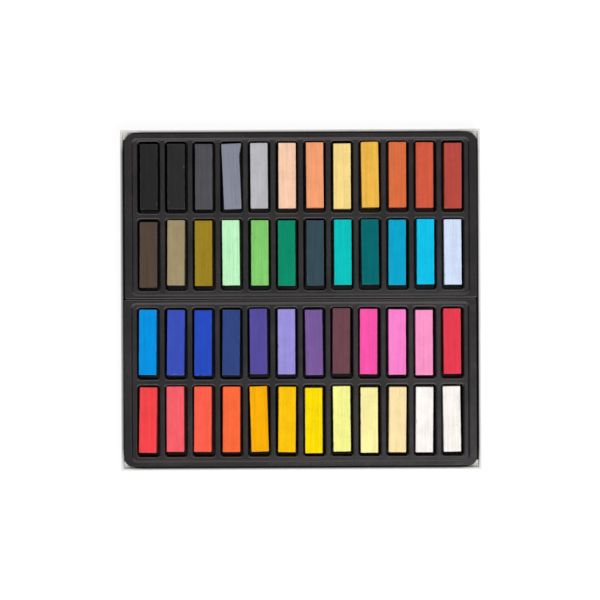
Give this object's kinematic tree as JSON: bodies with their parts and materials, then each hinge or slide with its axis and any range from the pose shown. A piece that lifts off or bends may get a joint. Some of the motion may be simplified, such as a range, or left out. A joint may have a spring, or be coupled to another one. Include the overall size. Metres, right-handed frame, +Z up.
{
  "type": "boxed set of soft pastels",
  "caption": "Shallow open card box holding black plastic pocket trays, with a square soft pastel stick in every pocket.",
  "frame": {"origin": "middle of the underside of the card box", "axes": "+X to the right along the rows of sticks, +Y from the front tray to the back tray, +Z up"},
  "size_m": [0.18, 0.1704, 0.0107],
  "materials": {
    "greyboard": "raw grey paperboard",
    "wrap_paper": "matt white covering paper",
    "liner_paper": "matt white lining paper",
    "support_card": "white-lined folding boxboard",
    "stay_tape": "brown gummed paper tape",
    "tray_plastic": "black thermoformed polystyrene sheet, satin, dusty",
    "pastel_black": "dry chalky pastel, black",
    "pastel_lamp_black": "dry chalky pastel, lamp black",
    "pastel_dark_grey": "dry chalky pastel, dark grey",
    "pastel_blue_grey": "dry chalky pastel, blue grey",
    "pastel_light_grey": "dry chalky pastel, light grey",
    "pastel_pale_peach": "dry chalky pastel, pale peach",
    "pastel_salmon": "dry chalky pastel, salmon",
    "pastel_naples_yellow": "dry chalky pastel, naples yellow",
    "pastel_golden_ochre": "dry chalky pastel, golden ochre",
    "pastel_burnt_orange": "dry chalky pastel, burnt orange",
    "pastel_red_orange": "dry chalky pastel, red orange",
    "pastel_brick_red": "dry chalky pastel, brick red",
    "pastel_dark_brown": "dry chalky pastel, dark brown",
    "pastel_khaki": "dry chalky pastel, khaki",
    "pastel_olive_ochre": "dry chalky pastel, olive ochre",
    "pastel_mint": "dry chalky pastel, mint",
    "pastel_light_green": "dry chalky pastel, light green",
    "pastel_emerald": "dry chalky pastel, emerald",
    "pastel_slate_teal": "dry chalky pastel, slate teal",
    "pastel_turquoise": "dry chalky pastel, turquoise",
    "pastel_dark_teal": "dry chalky pastel, dark teal",
    "pastel_cerulean": "dry chalky pastel, cerulean",
    "pastel_sky_cyan": "dry chalky pastel, sky cyan",
    "pastel_ice_blue": "dry chalky pastel, ice blue",
    "pastel_azure": "dry chalky pastel, azure",
    "pastel_cobalt": "dry chalky pastel, cobalt",
    "pastel_ultramarine": "dry chalky pastel, ultramarine",
    "pastel_navy": "dry chalky pastel, navy",
    "pastel_violet": "dry chalky pastel, violet",
    "pastel_lavender": "dry chalky pastel, lavender",
    "pastel_purple": "dry chalky pastel, purple",
    "pastel_plum": "dry chalky pastel, plum",
    "pastel_hot_pink": "dry chalky pastel, hot pink",
    "pastel_pink": "dry chalky pastel, pink",
    "pastel_light_pink": "dry chalky pastel, light pink",
    "pastel_crimson": "dry chalky pastel, crimson",
    "pastel_red": "dry chalky pastel, red",
    "pastel_coral_rose": "dry chalky pastel, coral rose",
    "pastel_vermilion": "dry chalky pastel, vermilion",
    "pastel_orange_red": "dry chalky pastel, orange red",
    "pastel_amber": "dry chalky pastel, amber",
    "pastel_yellow_orange": "dry chalky pastel, yellow orange",
    "pastel_yellow": "dry chalky pastel, yellow",
    "pastel_lemon": "dry chalky pastel, lemon",
    "pastel_pale_yellow": "dry chalky pastel, pale yellow",
    "pastel_cream": "dry chalky pastel, cream",
    "pastel_white": "dry chalky pastel, white",
    "pastel_warm_white": "dry chalky pastel, warm white"
  },
  "bodies": {
    "box": {"box_board": "greyboard", "box_wrap": "wrap_paper", "base_liner": "liner_paper", "rim_support_back": "support_card", "rim_support_front": "support_card", "corner_stay_back_left": "stay_tape", "corner_stay_back_right": "stay_tape", "corner_stay_front_left": "stay_tape", "corner_stay_front_right": "stay_tape"},
    "tray_back": {"tray_back": "tray_plastic"},
    "tray_front": {"tray_front": "tray_plastic"},
    "stick_black": {"stick_black": "pastel_black"},
    "stick_lamp_black": {"stick_lamp_black": "pastel_lamp_black"},
    "stick_dark_grey": {"stick_dark_grey": "pastel_dark_grey"},
    "stick_blue_grey": {"stick_blue_grey": "pastel_blue_grey"},
    "stick_light_grey": {"stick_light_grey": "pastel_light_grey"},
    "stick_pale_peach": {"stick_pale_peach": "pastel_pale_peach"},
    "stick_salmon": {"stick_salmon": "pastel_salmon"},
    "stick_naples_yellow": {"stick_naples_yellow": "pastel_naples_yellow"},
    "stick_golden_ochre": {"stick_golden_ochre": "pastel_golden_ochre"},
    "stick_burnt_orange": {"stick_burnt_orange": "pastel_burnt_orange"},
    "stick_red_orange": {"stick_red_orange": "pastel_red_orange"},
    "stick_brick_red": {"stick_brick_red": "pastel_brick_red"},
    "stick_dark_brown": {"stick_dark_brown": "pastel_dark_brown"},
    "stick_khaki": {"stick_khaki": "pastel_khaki"},
    "stick_olive_ochre": {"stick_olive_ochre": "pastel_olive_ochre"},
    "stick_mint": {"stick_mint": "pastel_mint"},
    "stick_light_green": {"stick_light_green": "pastel_light_green"},
    "stick_emerald": {"stick_emerald": "pastel_emerald"},
    "stick_slate_teal": {"stick_slate_teal": "pastel_slate_teal"},
    "stick_turquoise": {"stick_turquoise": "pastel_turquoise"},
    "stick_dark_teal": {"stick_dark_teal": "pastel_dark_teal"},
    "stick_cerulean": {"stick_cerulean": "pastel_cerulean"},
    "stick_sky_cyan": {"stick_sky_cyan": "pastel_sky_cyan"},
    "stick_ice_blue": {"stick_ice_blue": "pastel_ice_blue"},
    "stick_azure": {"stick_azure": "pastel_azure"},
    "stick_cobalt": {"stick_cobalt": "pastel_cobalt"},
    "stick_ultramarine": {"stick_ultramarine": "pastel_ultramarine"},
    "stick_navy": {"stick_navy": "pastel_navy"},
    "stick_violet": {"stick_violet": "pastel_violet"},
    "stick_lavender": {"stick_lavender": "pastel_lavender"},
    "stick_purple": {"stick_purple": "pastel_purple"},
    "stick_plum": {"stick_plum": "pastel_plum"},
    "stick_hot_pink": {"stick_hot_pink": "pastel_hot_pink"},
    "stick_pink": {"stick_pink": "pastel_pink"},
    "stick_light_pink": {"stick_light_pink": "pastel_light_pink"},
    "stick_crimson": {"stick_crimson": "pastel_crimson"},
    "stick_red": {"stick_red": "pastel_red"},
    "stick_coral_rose": {"stick_coral_rose": "pastel_coral_rose"},
    "stick_vermilion": {"stick_vermilion": "pastel_vermilion"},
    "stick_orange_red": {"stick_orange_red": "pastel_orange_red"},
    "stick_amber": {"stick_amber": "pastel_amber"},
    "stick_yellow_orange": {"stick_yellow_orange": "pastel_yellow_orange"},
    "stick_yellow": {"stick_yellow": "pastel_yellow"},
    "stick_lemon": {"stick_lemon": "pastel_lemon"},
    "stick_pale_yellow": {"stick_pale_yellow": "pastel_pale_yellow"},
    "stick_cream": {"stick_cream": "pastel_cream"},
    "stick_white": {"stick_white": "pastel_white"},
    "stick_warm_white": {"stick_warm_white": "pastel_warm_white"}
  },
  "joints": [
    {"name": "tray_back_lift", "type": "slide", "parent": "box", "child": "tray_back", "axis": [0, 0, 1], "range_m": [0, 0.03]},
    {"name": "tray_front_lift", "type": "slide", "parent": "box", "child": "tray_front", "axis": [0, 0, 1], "range_m": [0, 0.03]},
    {"name": "stick_black_lift", "type": "slide", "parent": "tray_back", "child": "stick_black", "axis": [0, 0, 1], "range_m": [0, 0.02]},
    {"name": "stick_lamp_black_lift", "type": "slide", "parent": "tray_back", "child": "stick_lamp_black", "axis": [0, 0, 1], "range_m": [0, 0.02]},
    {"name": "stick_dark_grey_lift", "type": "slide", "parent": "tray_back", "child": "stick_dark_grey", "axis": [0, 0, 1], "range_m": [0, 0.02]},
    {"name": "stick_blue_grey_lift", "type": "slide", "parent": "tray_back", "child": "stick_blue_grey", "axis": [0, 0, 1], "range_m": [0, 0.02]},
    {"name": "stick_light_grey_lift", "type": "slide", "parent": "tray_back", "child": "stick_light_grey", "axis": [0, 0, 1], "range_m": [0, 0.02]},
    {"name": "stick_pale_peach_lift", "type": "slide", "parent": "tray_back", "child": "stick_pale_peach", "axis": [0, 0, 1], "range_m": [0, 0.02]},
    {"name": "stick_salmon_lift", "type": "slide", "parent": "tray_back", "child": "stick_salmon", "axis": [0, 0, 1], "range_m": [0, 0.02]},
    {"name": "stick_naples_yellow_lift", "type": "slide", "parent": "tray_back", "child": "stick_naples_yellow", "axis": [0, 0, 1], "range_m": [0, 0.02]},
    {"name": "stick_golden_ochre_lift", "type": "slide", "parent": "tray_back", "child": "stick_golden_ochre", "axis": [0, 0, 1], "range_m": [0, 0.02]},
    {"name": "stick_burnt_orange_lift", "type": "slide", "parent": "tray_back", "child": "stick_burnt_orange", "axis": [0, 0, 1], "range_m": [0, 0.02]},
    {"name": "stick_red_orange_lift", "type": "slide", "parent": "tray_back", "child": "stick_red_orange", "axis": [0, 0, 1], "range_m": [0, 0.02]},
    {"name": "stick_brick_red_lift", "type": "slide", "parent": "tray_back", "child": "stick_brick_red", "axis": [0, 0, 1], "range_m": [0, 0.02]},
    {"name": "stick_dark_brown_lift", "type": "slide", "parent": "tray_back", "child": "stick_dark_brown", "axis": [0, 0, 1], "range_m": [0, 0.02]},
    {"name": "stick_khaki_lift", "type": "slide", "parent": "tray_back", "child": "stick_khaki", "axis": [0, 0, 1], "range_m": [0, 0.02]},
    {"name": "stick_olive_ochre_lift", "type": "slide", "parent": "tray_back", "child": "stick_olive_ochre", "axis": [0, 0, 1], "range_m": [0, 0.02]},
    {"name": "stick_mint_lift", "type": "slide", "parent": "tray_back", "child": "stick_mint", "axis": [0, 0, 1], "range_m": [0, 0.02]},
    {"name": "stick_light_green_lift", "type": "slide", "parent": "tray_back", "child": "stick_light_green", "axis": [0, 0, 1], "range_m": [0, 0.02]},
    {"name": "stick_emerald_lift", "type": "slide", "parent": "tray_back", "child": "stick_emerald", "axis": [0, 0, 1], "range_m": [0, 0.02]},
    {"name": "stick_slate_teal_lift", "type": "slide", "parent": "tray_back", "child": "stick_slate_teal", "axis": [0, 0, 1], "range_m": [0, 0.02]},
    {"name": "stick_turquoise_lift", "type": "slide", "parent": "tray_back", "child": "stick_turquoise", "axis": [0, 0, 1], "range_m": [0, 0.02]},
    {"name": "stick_dark_teal_lift", "type": "slide", "parent": "tray_back", "child": "stick_dark_teal", "axis": [0, 0, 1], "range_m": [0, 0.02]},
    {"name": "stick_cerulean_lift", "type": "slide", "parent": "tray_back", "child": "stick_cerulean", "axis": [0, 0, 1], "range_m": [0, 0.02]},
    {"name": "stick_sky_cyan_lift", "type": "slide", "parent": "tray_back", "child": "stick_sky_cyan", "axis": [0, 0, 1], "range_m": [0, 0.02]},
    {"name": "stick_ice_blue_lift", "type": "slide", "parent": "tray_back", "child": "stick_ice_blue", "axis": [0, 0, 1], "range_m": [0, 0.02]},
    {"name": "stick_azure_lift", "type": "slide", "parent": "tray_front", "child": "stick_azure", "axis": [0, 0, 1], "range_m": [0, 0.02]},
    {"name": "stick_cobalt_lift", "type": "slide", "parent": "tray_front", "child": "stick_cobalt", "axis": [0, 0, 1], "range_m": [0, 0.02]},
    {"name": "stick_ultramarine_lift", "type": "slide", "parent": "tray_front", "child": "stick_ultramarine", "axis": [0, 0, 1], "range_m": [0, 0.02]},
    {"name": "stick_navy_lift", "type": "slide", "parent": "tray_front", "child": "stick_navy", "axis": [0, 0, 1], "range_m": [0, 0.02]},
    {"name": "stick_violet_lift", "type": "slide", "parent": "tray_front", "child": "stick_violet", "axis": [0, 0, 1], "range_m": [0, 0.02]},
    {"name": "stick_lavender_lift", "type": "slide", "parent": "tray_front", "child": "stick_lavender", "axis": [0, 0, 1], "range_m": [0, 0.02]},
    {"name": "stick_purple_lift", "type": "slide", "parent": "tray_front", "child": "stick_purple", "axis": [0, 0, 1], "range_m": [0, 0.02]},
    {"name": "stick_plum_lift", "type": "slide", "parent": "tray_front", "child": "stick_plum", "axis": [0, 0, 1], "range_m": [0, 0.02]},
    {"name": "stick_hot_pink_lift", "type": "slide", "parent": "tray_front", "child": "stick_hot_pink", "axis": [0, 0, 1], "range_m": [0, 0.02]},
    {"name": "stick_pink_lift", "type": "slide", "parent": "tray_front", "child": "stick_pink", "axis": [0, 0, 1], "range_m": [0, 0.02]},
    {"name": "stick_light_pink_lift", "type": "slide", "parent": "tray_front", "child": "stick_light_pink", "axis": [0, 0, 1], "range_m": [0, 0.02]},
    {"name": "stick_crimson_lift", "type": "slide", "parent": "tray_front", "child": "stick_crimson", "axis": [0, 0, 1], "range_m": [0, 0.02]},
    {"name": "stick_red_lift", "type": "slide", "parent": "tray_front", "child": "stick_red", "axis": [0, 0, 1], "range_m": [0, 0.02]},
    {"name": "stick_coral_rose_lift", "type": "slide", "parent": "tray_front", "child": "stick_coral_rose", "axis": [0, 0, 1], "range_m": [0, 0.02]},
    {"name": "stick_vermilion_lift", "type": "slide", "parent": "tray_front", "child": "stick_vermilion", "axis": [0, 0, 1], "range_m": [0, 0.02]},
    {"name": "stick_orange_red_lift", "type": "slide", "parent": "tray_front", "child": "stick_orange_red", "axis": [0, 0, 1], "range_m": [0, 0.02]},
    {"name": "stick_amber_lift", "type": "slide", "parent": "tray_front", "child": "stick_amber", "axis": [0, 0, 1], "range_m": [0, 0.02]},
    {"name": "stick_yellow_orange_lift", "type": "slide", "parent": "tray_front", "child": "stick_yellow_orange", "axis": [0, 0, 1], "range_m": [0, 0.02]},
    {"name": "stick_yellow_lift", "type": "slide", "parent": "tray_front", "child": "stick_yellow", "axis": [0, 0, 1], "range_m": [0, 0.02]},
    {"name": "stick_lemon_lift", "type": "slide", "parent": "tray_front", "child": "stick_lemon", "axis": [0, 0, 1], "range_m": [0, 0.02]},
    {"name": "stick_pale_yellow_lift", "type": "slide", "parent": "tray_front", "child": "stick_pale_yellow", "axis": [0, 0, 1], "range_m": [0, 0.02]},
    {"name": "stick_cream_lift", "type": "slide", "parent": "tray_front", "child": "stick_cream", "axis": [0, 0, 1], "range_m": [0, 0.02]},
    {"name": "stick_white_lift", "type": "slide", "parent": "tray_front", "child": "stick_white", "axis": [0, 0, 1], "range_m": [0, 0.02]},
    {"name": "stick_warm_white_lift", "type": "slide", "parent": "tray_front", "child": "stick_warm_white", "axis": [0, 0, 1], "range_m": [0, 0.02]}
  ]
}
